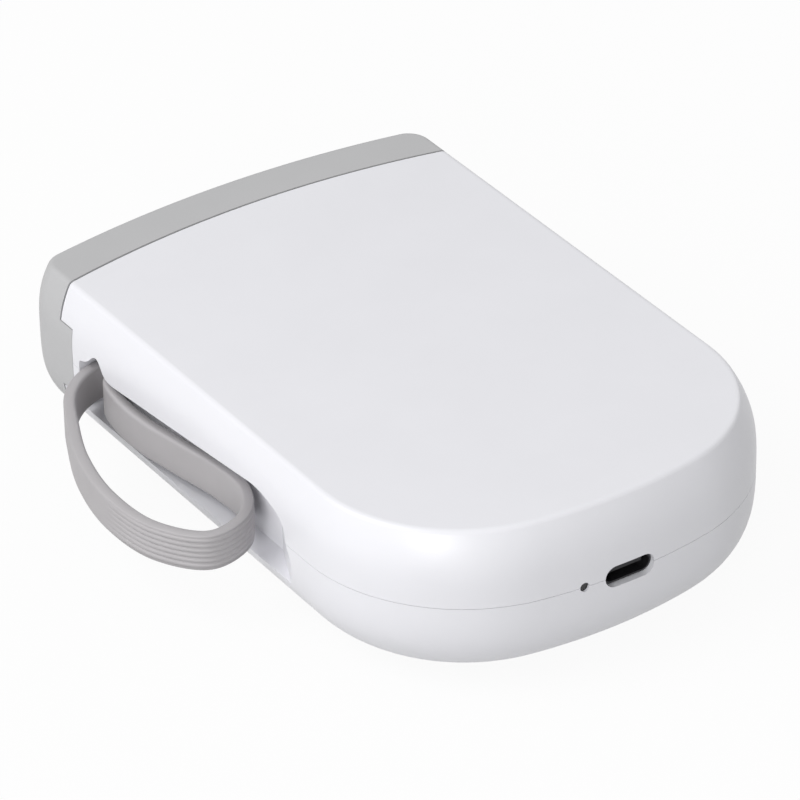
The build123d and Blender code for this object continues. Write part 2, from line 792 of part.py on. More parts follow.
def make_labels():
    """Roll of labels, its core, and the web from the roll past the print line to the slit."""
    low, high = label_low_z, label_high_z
    roll = post(roll_x, roll_y, low, high, roll_radius)
    roll -= post(roll_x, roll_y, low - 1, high + 1, core_radius)
    core = post(roll_x, roll_y, low, high, core_radius)
    core -= post(roll_x, roll_y, low - 1, high + 1, core_radius - core_wall)
    turn = web_tangent()
    out = Vector(cos(turn), sin(turn), 0)
    roll_mid = Vector(roll_x, roll_y, 0)
    platen_mid = Vector(platen_x, platen_y, 0)
    stand = head_clearance + web_thickness / 2
    wrap = platen_radius + stand
    leave = roll_mid + out * (roll_radius + 2 * stand)
    meet = platen_mid + out * wrap
    middle = (turn + pi) / 2
    line = Line(leave, meet)
    line += ThreePointArc(
        meet, platen_mid + Vector(cos(middle), sin(middle), 0) * wrap, (web_x, platen_y)
    )
    line += Line((web_x, platen_y), (web_x, far_y - 2.2))
    web = extrude(Pos(0, 0, low) * trace(line, web_thickness), label_width)
    return roll, core, web


def idler_place():
    """Centre of the idler, in mesh with both the motor's pinion and the platen's gear."""
    to_motor = gear_module * (pinion_teeth + idler_large_teeth) / 2
    to_platen = gear_module * (idler_small_teeth + platen_teeth) / 2
    dx, dy = platen_x - motor_x, platen_y - motor_y
    apart = hypot(dx, dy)
    along = (apart**2 + to_motor**2 - to_platen**2) / (2 * apart)
    aside = sqrt(to_motor**2 - along**2)
    return (
        motor_x + (dx * along + dy * aside) / apart,
        motor_y + (dy * along - dx * aside) / apart,
    )


def gear(teeth, x, y, tooth_at, low, bore):
    """Spur gear with involute teeth; one tooth's middle points along the angle tooth_at."""
    pitch = gear_module * teeth / 2
    base = pitch * cos(radians(pressure_angle))
    tip = pitch + tooth_top * gear_module
    root = pitch - tooth_depth * gear_module
    start = max(base, root)

    def unwind(radius):
        angle = acos(min(base / radius, 1))
        return tan(angle) - angle

    half_tooth = pi / (2 * teeth) - backlash / (2 * pitch) + unwind(pitch)
    flank = [start + (tip - start) * share / 4 for share in range(5)]
    side = [(root, half_tooth - unwind(start))] if root < base else []
    side += [(radius, half_tooth - unwind(radius)) for radius in flank]
    points = []
    for tooth in range(teeth):
        middle = tooth_at + 2 * pi * tooth / teeth
        rising = [(r, middle - half) for r, half in side]
        falling = [(r, middle + half) for r, half in side[::-1]]
        points += [(x + r * cos(a), y + r * sin(a)) for r, a in rising + falling]
    wheel = prism(points, low, low + gear_thickness)
    return wheel - post(x, y, low - 1, low + gear_thickness + 1, bore)


def make_gears():
    """Pinion, two-step idler and platen gear, in mesh at rest."""
    idler_x, idler_y = idler_place()
    motor_to_idler = atan2(idler_y - motor_y, idler_x - motor_x)
    idler_to_platen = atan2(platen_y - idler_y, platen_x - idler_x)
    pinion = gear(pinion_teeth, motor_x, motor_y, motor_to_idler, gear_high_z, motor_shaft_radius)
    large = gear(idler_large_teeth, idler_x, idler_y,
                 motor_to_idler + pi + pi / idler_large_teeth, gear_high_z,
                 idler_post_radius + running_gap)
    small = gear(idler_small_teeth, idler_x, idler_y, idler_to_platen, gear_low_z,
                 idler_post_radius + running_gap)
    collar = post(idler_x, idler_y, gear_low_z + gear_thickness, gear_high_z, 2.6)
    collar -= post(idler_x, idler_y, gear_low_z, gear_high_z + 1, idler_post_radius + running_gap)
    idler = large + small + collar
    wheel = gear(platen_teeth, platen_x, platen_y,
                 idler_to_platen + pi + pi / platen_teeth, gear_low_z, platen_shaft_radius)
    return pinion, idler, wheel


def make_platen():
    """Rubber platen roller on its steel shaft, and the two bushes that carry it."""
    roller = post(platen_x, platen_y, frame_floor_z + 0.4, frame_roof_z - 0.4, platen_radius)
    roller -= post(platen_x, platen_y, 0, body_height, platen_shaft_radius)
    shaft = post(platen_x, platen_y, frame_low_z - 0.4, gear_low_z + gear_thickness,
                 platen_shaft_radius)
    bushes = []
    for low in (frame_low_z, frame_roof_z):
        bush = post(platen_x, platen_y, low, low + frame_plate, bush_radius)
        bush -= post(platen_x, platen_y, low - 1, low + frame_plate + 1,
                     platen_shaft_radius + running_gap)
        bushes.append(bush)
    return roller, shaft, bushes


def motor_ears():
    """Centres of the motor flange's two screw holes."""
    turn = radians(motor_ear_turn)
    return [
        (motor_x + side * motor_ear_reach * cos(turn), motor_y + side * motor_ear_reach * sin(turn))
        for side in (-1, 1)
    ]


def make_motor():
    """Stepper motor hung under the frame's top plate, its shaft and screws."""
    top = frame_roof_z
    can = post(motor_x, motor_y, top - motor_height, top, motor_radius)
    can = fillet(can.edges().filter_by(GeomType.CIRCLE).sort_by(Axis.Z)[0], 0.6)
    flange = Pos(motor_x, motor_y, top - 0.4) * Rot(0, 0, motor_ear_turn)
    flange *= extrude(SlotOverall(2 * motor_ear_reach + 4, 4), 0.8, both=False)
    flange = Pos(0, 0, -0.4) * flange
    body = can + flange
    body -= post(motor_x, motor_y, top - 4, top + 1, motor_shaft_radius + running_gap)
    screws = []
    for x, y in motor_ears():
        body -= post(x, y, top - 2, top + 1, 0.8)
        screws.append(screw(x, y, frame_top_z, -(frame_plate + 0.8), 0.8, 1.5, 0.7))
    shaft = post(motor_x, motor_y, top - 4, gear_high_z + gear_thickness, motor_shaft_radius)
    return body, shaft, screws


def make_frame():
    """Print unit's chassis: two plates joined by a side wall and a back wall."""
    x = (frame_left_x, frame_right_x)
    y = (frame_back_y, frame_front_y)
    frame = block(x, y, (frame_low_z, frame_floor_z))
    frame += block(x, y, (frame_roof_z, frame_top_z))
    frame += block((frame_left_x, frame_left_x + frame_side), y, (frame_low_z, frame_top_z))
    frame += block(x, (frame_back_y, frame_back_y + frame_side), (frame_low_z, frame_top_z))
    idler_x, idler_y = idler_place()
    frame -= post(platen_x, platen_y, 0, body_height, bush_radius)
    frame -= post(head_pivot_x, head_pivot_y, 0, body_height, head_pin_radius)
    frame -= post(idler_x, idler_y, frame_roof_z - 1, body_height, idler_post_radius)
    frame -= post(motor_x, motor_y, frame_roof_z - 1, body_height, 2.0)
    for ear_x, ear_y in motor_ears():
        frame -= post(ear_x, ear_y, frame_roof_z - 1, body_height, 0.8)
    for screw_x, screw_y in frame_screw_places:
        frame -= post(screw_x, screw_y, 0, frame_floor_z + 1, screw_radius + lip_clearance)
        frame -= post(screw_x, screw_y, frame_roof_z - 1, body_height, screw_head)
    frame -= block(
        (head_face_x - 3.6, head_face_x + 2.8), (head_pivot_y - 0.8, head_pivot_y + 1.2),
        (0, frame_floor_z + 1),
    )
    catch_y = ear_edge_y + 2.2
    catch_z = (ear_low_z + ear_high_z) / 2
    frame -= Pos(frame_left_x, catch_y, catch_z) * Rot(0, 90, 0) * Cylinder(0.7, 3)
    return frame


def make_head():
    """Thermal print head: heated plate, heat sink, sprung bracket, pivot pin and connector."""
    low, high = label_low_z - head_over, label_high_z + head_over
    y0, y1 = platen_y - head_length / 2, platen_y + head_length / 2
    plate_back = head_face_x - head_plate_depth
    sink_back = plate_back - heat_sink_depth
    bracket_back = sink_back - head_bracket_depth
    plate = block((plate_back, head_face_x), (y0, y1), (low, high))
    sink = block((sink_back, plate_back), (y0, y1), (low, high))
    for groove in range(4):
        z = low + (high - low) * (groove + 1) / 5
        sink -= block((sink_back - 1, plate_back - 1), (y0 - 1, y1 + 1), (z - 0.6, z + 0.6))
    bracket = block((bracket_back, sink_back), (head_pivot_y, y1 + 0.4), (low, high))
    knuckle = post(head_pivot_x, head_pivot_y, low, high, head_knuckle)
    bracket += knuckle
    bracket -= post(head_pivot_x, head_pivot_y, low - 1, high + 1, head_pin_radius + running_gap)
    pin = post(head_pivot_x, head_pivot_y, frame_low_z, frame_top_z, head_pin_radius)
    connector = block(
        (sink_back, sink_back + connector_size), (y0 - 3.0, y0 - 0.4), (low, low + connector_size)
    )
    springs = []
    gap = bracket_back - (frame_left_x + frame_side)
    for share in (0.25, 0.75):
        z = low + (high - low) * share
        place = Pos(bracket_back - gap / 2, platen_y + 1, z) * Rot(0, 90, 0)
        springs.append(place * coil_spring(gap - 0.1))
    return plate, sink, bracket, pin, connector, springs


def coil_spring(length):
    """Compression spring about Z, centred on the origin."""
    rise = length - spring_wire
    path = Helix(pitch=rise / spring_turns, height=rise, radius=spring_radius)
    coil = sweep(Plane(path @ 0, z_dir=path % 0) * Circle(spring_wire / 2), path, is_frenet=True)
    return Pos(0, 0, -rise / 2) * coil


def make_flex():
    """Flat cable from the print head, under the frame, up to its socket below the board."""
    y_head = head_pivot_y + 0.85
    y_board = board_far_y - 4.0
    floor_z = wall + 0.35
    route = FilletPolyline(
        (y_head, label_low_z + 4.0), (y_head, floor_z), (y_board - 2.0, floor_z),
        (y_board - 2.0, board_low_z - 1.2), radius=1.2,
    )
    ribbon = Plane.YZ * trace(route, 0.3)
    left = head_face_x - 2.0
    width = 4.0
    cable = Pos(left, 0, 0) * extrude(ribbon, width)
    socket = block((left - 0.7, left + width + 0.7), (y_board - 3.0, y_board - 0.6),
                   (board_low_z - 2.0, board_low_z))
    socket -= block((left - 0.1, left + width + 0.1), (y_board - 2.25, y_board - 1.75),
                    (board_low_z - 3.0, board_low_z - 1.1))
    return cable, socket


def make_sensor():
    """Reflective sensor that finds the gaps between labels, on its post beside the web."""
    y = platen_y - 7.6
    sensor = block((-16.6, -14.4), (y - 1.8, y + 1.8), (12.0, 16.5))
    return sensor + block((-15.8, -14.8), (y - 1.2, y + 1.2), (frame_floor_z, 12.0))


def screw(x, y, seat, length, radius=screw_radius, head=screw_head, height=screw_head_height):
    """Cross-headed screw seated at a height; a negative length points down."""
    side = -1 if length > 0 else 1
    low, high = sorted((seat, seat + length))
    shank = post(x, y, low, high, radius)
    low, high = sorted((seat, seat + side * height))
    top = post(x, y, low, high, head)
    outside = seat + side * height
    for long_x, long_y in ((head, 0.4), (0.4, head)):
        cut_z = sorted((outside - side * height / 2, outside + side))
        top -= block((x - long_x / 2, x + long_x / 2), (y - long_y / 2, y + long_y / 2), cut_z)
    return shank + top


def main():
    outer = outer_form()
    inner = inner_form()
    nodes = {}
    nodes["top_shell"], nodes["bottom_shell"] = make_shells(outer, inner)
    nodes["cover_cap"] = make_cover(outer, inner)
    nodes["cover_guide"], nodes["tear_blade"] = make_guide(inner)
    nodes["cover_hinge_pin"] = post(
        hinge_x, hinge_y, hinge_pin_low_z, hinge_pin_high_z, hinge_pin_radius
    )
    nodes["catch_spring"], nodes["catch_screw"] = make_catch()
    nodes["hand_strap"] = make_strap()
    nodes["strap_bar"] = post(
        strap_bar_x, strap_bar_y, recess_low_z - strap_bar_hold,
        recess_top_z + strap_bar_hold, strap_bar_radius,
    )
    nodes["usb_port_shell"], nodes["usb_port_tongue"] = make_inlet()
    nodes["status_light_pipe"], nodes["status_led"] = make_status_light()
    nodes["power_button"], nodes["switch_plunger"], nodes["power_switch"] = make_button()
    nodes["main_board"], nodes["board_chips"] = make_board()
    (nodes["battery_pack"], nodes["battery_pad"], nodes["battery_socket"],
     nodes["battery_leads"]) = make_battery()
    nodes["roll_tray"] = make_tray()
    nodes["label_roll"], nodes["roll_core"], nodes["label_web"] = make_labels()
    nodes["print_frame"] = make_frame()
    nodes["platen_roller"], nodes["platen_shaft"], bushes = make_platen()
    for number, bush in enumerate(bushes, 1):
        nodes[f"platen_bush_{number}"] = bush
    nodes["motor_pinion"], nodes["idler_gear"], nodes["platen_gear"] = make_gears()
    nodes["idler_post"] = post(
        *idler_place(), frame_roof_z, gear_high_z + gear_thickness + 0.2, idler_post_radius
    )
    nodes["feed_motor"], nodes["motor_shaft"], nodes["motor_screws"] = make_motor()
    (nodes["head_plate"], nodes["heat_sink"], nodes["head_bracket"], nodes["head_pivot_pin"],
     nodes["head_connector"], nodes["head_springs"]) = make_head()
    nodes["head_flex"], nodes["head_socket"] = make_flex()
    nodes["label_sensor"] = make_sensor()
    nodes["case_screws"] = [
        screw(x, y, case_screw_seat_z, case_screw_length) for x, y in case_screw_places
    ]
    nodes["board_screws"] = [screw(x, y, board_top_z, -6.0) for x, y in board_screw_places]
    nodes["tray_screws"] = [
        screw(x, y, tray_low_z + tray_floor, -tray_floor - 3.0) for x, y in tray_screw_places
    ]
    nodes["frame_screws"] = [
        screw(x, y, frame_floor_z, -frame_plate - 3.0) for x, y in frame_screw_places
    ]
    os.makedirs("parts", exist_ok=True)
    for name, item in nodes.items():
        shape = Compound(children=item) if isinstance(item, list) else item
        export_step(shape, f"parts/{name}.step")


main()
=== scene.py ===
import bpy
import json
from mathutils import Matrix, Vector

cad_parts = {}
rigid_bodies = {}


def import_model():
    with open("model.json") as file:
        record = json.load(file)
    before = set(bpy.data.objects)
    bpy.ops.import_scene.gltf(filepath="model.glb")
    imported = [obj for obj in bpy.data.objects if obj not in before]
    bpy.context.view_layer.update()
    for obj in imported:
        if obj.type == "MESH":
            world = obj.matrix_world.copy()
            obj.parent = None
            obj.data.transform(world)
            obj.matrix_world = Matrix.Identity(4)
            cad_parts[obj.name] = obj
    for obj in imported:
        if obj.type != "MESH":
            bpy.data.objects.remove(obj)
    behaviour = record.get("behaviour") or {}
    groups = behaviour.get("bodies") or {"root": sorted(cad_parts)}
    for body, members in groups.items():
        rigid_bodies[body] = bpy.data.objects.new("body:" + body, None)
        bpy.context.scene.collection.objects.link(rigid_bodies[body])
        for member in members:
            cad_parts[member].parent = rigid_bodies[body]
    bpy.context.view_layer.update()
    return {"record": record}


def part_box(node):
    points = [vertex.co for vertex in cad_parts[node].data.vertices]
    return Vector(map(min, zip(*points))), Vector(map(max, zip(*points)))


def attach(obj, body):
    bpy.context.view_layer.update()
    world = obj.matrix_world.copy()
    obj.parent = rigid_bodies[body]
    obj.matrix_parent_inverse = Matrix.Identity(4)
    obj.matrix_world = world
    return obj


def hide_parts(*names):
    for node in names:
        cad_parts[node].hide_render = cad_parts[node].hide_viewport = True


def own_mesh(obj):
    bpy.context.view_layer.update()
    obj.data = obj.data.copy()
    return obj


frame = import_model()

# %% [markdown]
# # A portable label printer
#
# The printer stands here already, as solid pieces that were made in CAD: the
# casing, the end cover and everything inside. This notebook dresses them. It
# gives every piece its finish, makes the soft hand strap, puts a merged copy
# of the printing head's springs in their place, and sets up a small studio.
# Lengths in Blender are metres, and MM turns millimetres into them. +Z is up,
# and the rounded end with the charging inlet points to -Y.

# %% Imports and the unit
import json
import math
import bmesh
import bpy
from mathutils import Matrix, Vector

MM = 0.001

# %% [markdown]
# ## One recipe for every finish
#
# Real plastic, metal and paper are never quite even. A mould leaves a fine
# grain, a brush leaves lines, and the colour drifts a little from place to
# place. Pictures wrapped round the pieces could show that, but each piece
# would have to be unwrapped for it. Noise that the material works out needs
# no unwrapping and stays sharp from near by. It reads Object coordinates, so
# that the pattern stays on a piece that moves.

# %% Noise
def noise(tree, place, scale, detail):
    """Cloudy pattern whose patches are about 1 / scale metres wide."""
    texture = tree.nodes.new("ShaderNodeTexNoise")
    texture.inputs["Scale"].default_value = scale
    texture.inputs["Detail"].default_value = detail
    tree.links.new(place, texture.inputs["Vector"])
    return texture.outputs["Fac"]


print("noise ready")

# %% [markdown]
# The noise drives three things. A bump tilts the surface a little, so that
# the grain catches light without any change of shape. A colour ramp drifts
# between a darker and a lighter tint. A map range makes some spots glossier
# than others, as skin and wear do on the real object.

# %% Relief, tint and gloss from the noise
RELIEF_DEPTH = 0.05 * MM
TINT_FROM, TINT_TO = 0.3, 0.7
LEAST_ROUGH, MOST_ROUGH = 0.9, 1.12


def relief(tree, grain, strength):
    """Tilt of the surface that follows the grain."""
    bump = tree.nodes.new("ShaderNodeBump")
    bump.inputs["Strength"].default_value = strength
    bump.inputs["Distance"].default_value = RELIEF_DEPTH
    tree.links.new(grain, bump.inputs["Height"])
    return bump.outputs["Normal"]


def tint(tree, patches, colour, drift):
    """Colour that drifts by a share to each side of the given one."""
    ramp = tree.nodes.new("ShaderNodeValToRGB")
    darker, lighter = ramp.color_ramp.elements
    darker.position, lighter.position = TINT_FROM, TINT_TO
    darker.color = [c * (1 - drift) for c in colour] + [1]
    lighter.color = [min(c * (1 + drift), 1) for c in colour] + [1]
    tree.links.new(patches, ramp.inputs["Fac"])
    return ramp.outputs["Color"]


def gloss(tree, grain, rough):
    """Roughness that is a little lower in some grains than in others."""
    spread = tree.nodes.new("ShaderNodeMapRange")
    spread.inputs["To Min"].default_value = rough * LEAST_ROUGH
    spread.inputs["To Max"].default_value = min(rough * MOST_ROUGH, 1)
    tree.links.new(grain, spread.inputs["Value"])
    return spread.outputs["Result"]


print("relief, tint and gloss ready")

# %% [markdown]
# A finish puts these together on one shader. Its grain may be scaled more in
# one direction, so that a brush's lines or a paper's fibres run one way. Every
# finish is kept under its name, and the pieces ask for it by that name later.

# %% The recipe
PATCHES_PER_METRE = 90.0
finishes = {}


def finish(name, colour, rough, grain_mm, bump, metallic=0.0, drift=0.04, scale=(1, 1, 1)):
    """Keep a finish with a grain of the given size in millimetres."""
    material = bpy.data.materials.new(name)
    material.use_nodes = True
    tree = material.node_tree
    shader = tree.nodes["Principled BSDF"]
    shader.inputs["Metallic"].default_value = metallic
    place = tree.nodes.new("ShaderNodeTexCoord").outputs["Object"]
    scaled = tree.nodes.new("ShaderNodeMapping")
    scaled.inputs["Scale"].default_value = scale
    tree.links.new(place, scaled.inputs["Vector"])
    grain = noise(tree, scaled.outputs["Vector"], 1.0 / (grain_mm * MM), detail=3.0)
    patches = noise(tree, place, PATCHES_PER_METRE, detail=4.0)
    tree.links.new(relief(tree, grain, bump), shader.inputs["Normal"])
    tree.links.new(tint(tree, patches, colour, drift), shader.inputs["Base Color"])
    tree.links.new(gloss(tree, grain, rough), shader.inputs["Roughness"])
    finishes[name] = material


print("recipe ready")

# %% [markdown]
# ## The casing's plastics
#
# The two shells are moulded in a cool white plastic with a satin skin, and
# the end cover and the power button in a light grey one that is a bit duller.
# The grey could be the white with a darker tint, but the two differ in gloss
# and in how even they look, so each has its own line.

# %% White shells and grey cover
finish("white_shell", (0.80, 0.80, 0.835), 0.36, 0.16, 0.05, drift=0.008)
finish("grey_cover", (0.49, 0.49, 0.497), 0.46, 0.16, 0.08, drift=0.015)
print("casing plastics:", len(finishes))

# %% [markdown]
# ## The strap's silicone
#
# The hand strap is a soft silicone, a warm grey that is darker and duller
# than the cover. Real silicone lets a little light in, but a band of two
# millimetres in this grey hardly shows it, so a plain dull surface will do.

# %% Grey silicone
finish("grey_silicone", (0.43, 0.415, 0.425), 0.5, 0.22, 0.10, drift=0.03)
print("silicone ready")

# %% [markdown]
# ## Plastics inside
#
# The print frame, the cover's guide, the switch, the label sensor and the
# inlet's tongue are black. The roll tray, the larger gears, the platen's
# bushes and the battery's socket are cream, as plastic is when nobody dyes
# it. Both have a coarser grain than the casing, because moulds for inner
# pieces are polished less.

# %% Black and cream plastic
finish("black_plastic", (0.025, 0.025, 0.028), 0.5, 0.20, 0.15)
finish("cream_plastic", (0.72, 0.71, 0.66), 0.42, 0.20, 0.10)
print("inner plastics ready")

# %% [markdown]
# ## Metals
#
# Shafts, pins, screws, springs and the tear blade are steel, the heat sink is
# aluminium and the motor's pinion is brass. The inlet's shell is a steel that
# is plated dark. For a metal the shader's Metallic goes up to 1, and its
# colour then tints what it mirrors. A grain that is squeezed along Z gives
# the fine level lines that turning and brushing leave.

# %% Steels, aluminium and brass
finish("dark_steel", (0.06, 0.06, 0.065), 0.35, 0.10, 0.10, metallic=0.8)
finish("steel", (0.58, 0.58, 0.59), 0.3, 0.10, 0.10, metallic=1.0, scale=(1, 1, 12))
finish("aluminium", (0.72, 0.73, 0.74), 0.35, 0.12, 0.12, metallic=1.0, scale=(1, 1, 10))
finish("brass", (0.70, 0.50, 0.20), 0.28, 0.10, 0.08, metallic=1.0)
print("metals ready")

# %% [markdown]
# ## Board, chips and battery
#
# The main board is green under a glossy lacquer, and its colour drifts more
# than a plastic's, because copper shows through it. The chips are dull black.
# The battery is a cell in silvery foil, with a wrinkled surface that comes
# from a coarse grain and a strong bump. It lies on black foam, and its leads
# have a red sleeve.

# %% Electronics
finish("board", (0.02, 0.13, 0.06), 0.32, 0.5, 0.10, drift=0.12)
finish("chip_black", (0.02, 0.02, 0.022), 0.55, 0.08, 0.18)
finish("cell_foil", (0.55, 0.56, 0.58), 0.42, 0.9, 0.35, metallic=0.85)
finish("foam", (0.05, 0.05, 0.05), 0.95, 0.35, 0.8)
finish("red_lead", (0.45, 0.02, 0.015), 0.35, 0.3, 0.06)
print("electronics ready")

# %% [markdown]
# ## Labels and their core
#
# Thermal paper is a dull, slightly warm white. Its roll is wound round a tube
# of brown card, which is rougher and has fibres of many tints. The paper's
# grain is stretched upright, along the roll's axis.

# %% Paper and card
finish("label_paper", (0.82, 0.82, 0.80), 0.7, 0.09, 0.25, scale=(1, 1, 0.2))
finish("core_card", (0.38, 0.26, 0.15), 0.85, 0.15, 0.5, drift=0.12)
print("paper and card ready")

# %% [markdown]
# ## The print unit
#
# The platen is a black rubber roller, dull because its surface is ground. The
# head presses the paper on it with a plate of glazed ceramic, which is smooth
# and glossy. A flat cable in amber film leads from the head to the board. A
# low roughness is enough for glaze and film, with no second clear layer.

# %% Rubber, ceramic and film
finish("platen_rubber", (0.02, 0.02, 0.02), 0.7, 0.12, 0.35)
finish("head_ceramic", (0.60, 0.57, 0.50), 0.22, 0.4, 0.05)
finish("flex_film", (0.45, 0.20, 0.04), 0.25, 0.4, 0.06, drift=0.1)
print("print unit ready")

# %% [markdown]
# ## The status light
#
# A small lamp sits on the board behind a pin of smoked plastic. From outside
# only the pin's end is seen, as a dark glossy dot beside the inlet. It could
# be glass that lets light through, but at this size black gloss looks alike.

# %% Lamp and smoked lens
finish("clear_plastic", (0.30, 0.31, 0.32), 0.12, 0.5, 0.03)
finish("smoked_lens", (0.012, 0.012, 0.013), 0.2, 0.5, 0.03)
print("finishes in all:", len(finishes))

# %% [markdown]
# ## Dressing the pieces
#
# The record that came with the solids names a finish for every piece. A loop
# over it is shorter than a line for each piece, and can't leave one out.

# %% Give each piece its finish
subparts = frame["record"]["subparts"]
for subpart in subparts:
    piece = bpy.data.objects[subpart["node"]]
    piece.data.materials.clear()
    piece.data.materials.append(finishes[subpart["material_slot"]])
print("dressed", len(subparts), "pieces")

# %% [markdown]
# ## The hand strap: where it runs
#
# The strap is a closed band that goes round a steel bar in the side of the
# casing, out in a wide loop and back. A thickened flat curve could show it,
# but its ribs need a section of their own, which later follows this line.
# The turns are places on the line, in millimetres from the bar. They are
# listed one by one, because soft silicone lies in no exact curve.

# %% Turns of the strap round its bar
bar_low, bar_high = (Vector(corner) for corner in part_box("strap_bar"))
bar = (bar_low + bar_high).xy / 2 / MM
TURNS = [
    (0, 2.2), (-4.7, 0.9), (-9.1, -2.7), (-13.2, -10.2), (-17.1, -19.9), (-19.1, -31.4),
    (-17.7, -42.4), (-12.1, -49.3), (-5.0, -47.7), (-0.9, -41.4), (-0.8, -33.4), (-2.3, -24.4),
    (-3.6, -15.4), (-3.4, -8.0), (-1.8, -2.6), (0.5, -2.15), (2.2, 0),
]
print("the bar stands at", bar, "with", len(TURNS), "turns from it")

# %% [markdown]
# A smooth curve now runs through the turns. Many kinds of curve do that, but
# most of them bulge where two turns lie close together. A centripetal curve
# does not: it gives each stretch a time that grows with the root of its
# length. Each of its points is a blend of four turns, two on either side.

# %% A smooth closed line through the turns
STEPS_PER_TURN = 14


def blend(start, end, start_time, end_time, time):
    """Place on the straight way from start to end at a given time."""
    return start.lerp(end, (time - start_time) / (end_time - start_time))


def smooth_loop(turns):
    """Closed centripetal curve through the turns."""
    line = []
    for i in range(len(turns)):
        p = [turns[(i + shift) % len(turns)] for shift in (-1, 0, 1, 2)]
        t = [0.0]
        for start, end in zip(p, p[1:]):
            t.append(t[-1] + (end - start).length ** 0.5)
        for step in range(STEPS_PER_TURN):
            now = t[1] + (t[2] - t[1]) * step / STEPS_PER_TURN
            first, second, third = (blend(p[j], p[j + 1], t[j], t[j + 1], now) for j in range(3))
            early = blend(first, second, t[0], t[2], now)
            late = blend(second, third, t[1], t[3], now)
            line.append(blend(early, late, t[1], t[2], now))
    return line


middle = smooth_loop([bar + Vector(turn) for turn in TURNS])
print("strap line of", len(middle), "points")

# %% [markdown]
# ## The hand strap: its section
#
# Cut across, the strap is an upright strip with soft edges. Its outer face
# has moulded ribs, so that it doesn't slip in the hand. A bump could show
# them, but the edge of the strap would stay straight, so they are grooves in
# the section itself. Its height is read from the solid strap in the frame.

# %% Points round the section
strap_low, strap_high = (Vector(corner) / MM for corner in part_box("hand_strap"))
WIDE = strap_high.z - strap_low.z
MID_Z = (strap_high.z + strap_low.z) / 2
THICK, EDGE_ROUND = 2.0, 0.55
RIBS, RIB_DEPTH, RIB_BAND = 6, 0.30, 5.5
OUTER_ROWS, INNER_ROWS = 44, 10
EDGE_TURNS = 6


def rib_groove(z):
    """Share of the ribs' depth at a height z: 0 on a crest, 1 at the bottom of a groove."""
    ribs_passed = (z + RIB_BAND / 2) / RIB_BAND * RIBS
    return (0.5 + 0.5 * math.cos(ribs_passed * 2 * math.pi)) ** 3


def section(ribbed):
    """Points (outwards, up) round the strip, with ribs at a share of their full depth."""
    flat, rise = THICK / 2 - EDGE_ROUND, WIDE / 2 - EDGE_ROUND
    points = []
    for side, rows, depth in ((1, OUTER_ROWS, RIB_DEPTH * ribbed), (-1, INNER_ROWS, 0.0)):
        for row in range(rows + 1):
            z = (row / rows * 2 - 1) * rise * side
            points.append(((THICK / 2 - depth * rib_groove(z)) * side, z))
        for turn in range(1, EDGE_TURNS):
            angle = math.pi * turn / EDGE_TURNS
            centre = flat if turn < EDGE_TURNS / 2 else -flat
            out = centre + EDGE_ROUND * math.cos(angle)
            up = rise + EDGE_ROUND * math.sin(angle)
            points.append((out * side, up * side))
    return points


print("strap", round(WIDE, 2), "mm high, with", len(section(1)), "points round its section")

# %% [markdown]
# ## The hand strap: its skin
#
# At every point of the line a ring of edges stands square to it, and the
# operator bridge_loops joins each ring to the next with faces. One ring that
# is extruded all the way would do for a plain band. Here the ribs fade in
# and out near the nose of the loop, so each ring has its own section. Where
# the ribs start and end is counted in turns of the line.

# %% One ring across the strap
RIBS_START, RIBS_END = 5.0, 8.6
FADE_STEPS = 12


def rib_share(step):
    """0 where the strap is smooth, 1 where its ribs are full."""
    rising = (step - RIBS_START * STEPS_PER_TURN) / FADE_STEPS
    falling = (RIBS_END * STEPS_PER_TURN - step) / FADE_STEPS
    return min(max(rising, 0), max(falling, 0), 1)


def ring_across(band, step):
    """Closed ring of edges, square to the line at one of its points."""
    along = (middle[(step + 1) % len(middle)] - middle[step - 1]).normalized()
    outward = Vector((along.y, -along.x))
    corners = []
    for out, up in section(rib_share(step)):
        spot = middle[step] + outward * out
        corners.append(band.verts.new((spot.x * MM, spot.y * MM, (MID_Z + up) * MM)))
    return [band.edges.new((corners[i - 1], corners[i])) for i in range(len(corners))]


print("ribs from turn", RIBS_START, "to turn", RIBS_END)

# %% Skin the rings
band = bmesh.new()
rings = [ring_across(band, step) for step in range(len(middle))]
for ring, following in zip(rings, rings[1:] + rings[:1]):
    bmesh.ops.bridge_loops(band, edges=ring + following)
bmesh.ops.recalc_face_normals(band, faces=band.faces)
for face in band.faces:
    face.smooth = True
strap_mesh = bpy.data.meshes.new("hand_strap_soft")
band.to_mesh(strap_mesh)
band.free()
strap_mesh.materials.append(finishes["grey_silicone"])
print("strap faces:", len(strap_mesh.polygons))

# %% [markdown]
# The soft strap takes the place of the plain solid one, and rides on the same
# body, so that it swings with the strap's joint.

# %% Hang the strap on its body
strap = bpy.data.objects.new("hand_strap_soft", strap_mesh)
bpy.context.collection.objects.link(strap)
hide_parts("hand_strap")
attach(strap, "strap")
print("soft strap in place")

# %% [markdown]
# ## Springs behind the printing head
#
# Two coils press the head against the platen. When the head tips back, each
# is squeezed towards the wall of the print frame that it stands on. Rigid
# pieces can't change their shape. A copy of the springs stands in for them
# here, and it keeps its length as well. A mesh from CAD has doubled points
# along its creases, and merging them makes each coil one closed skin. Merging
# also blurs the creases, so the directions that shade each corner are kept
# aside and put back.

# %% Copy the springs and merge their doubled points
MERGE_WITHIN = 0.001 * MM
springs = bpy.data.objects["head_springs"].data
shading = [corner.vector.copy() for corner in springs.corner_normals]
coil_mesh = springs.copy()
skin = bmesh.new()
skin.from_mesh(coil_mesh)
bmesh.ops.remove_doubles(skin, verts=skin.verts, dist=MERGE_WITHIN)
skin.to_mesh(coil_mesh)
skin.free()
coil_mesh.normals_split_custom_set(shading)
print("points merged:", len(springs.vertices) - len(coil_mesh.vertices))
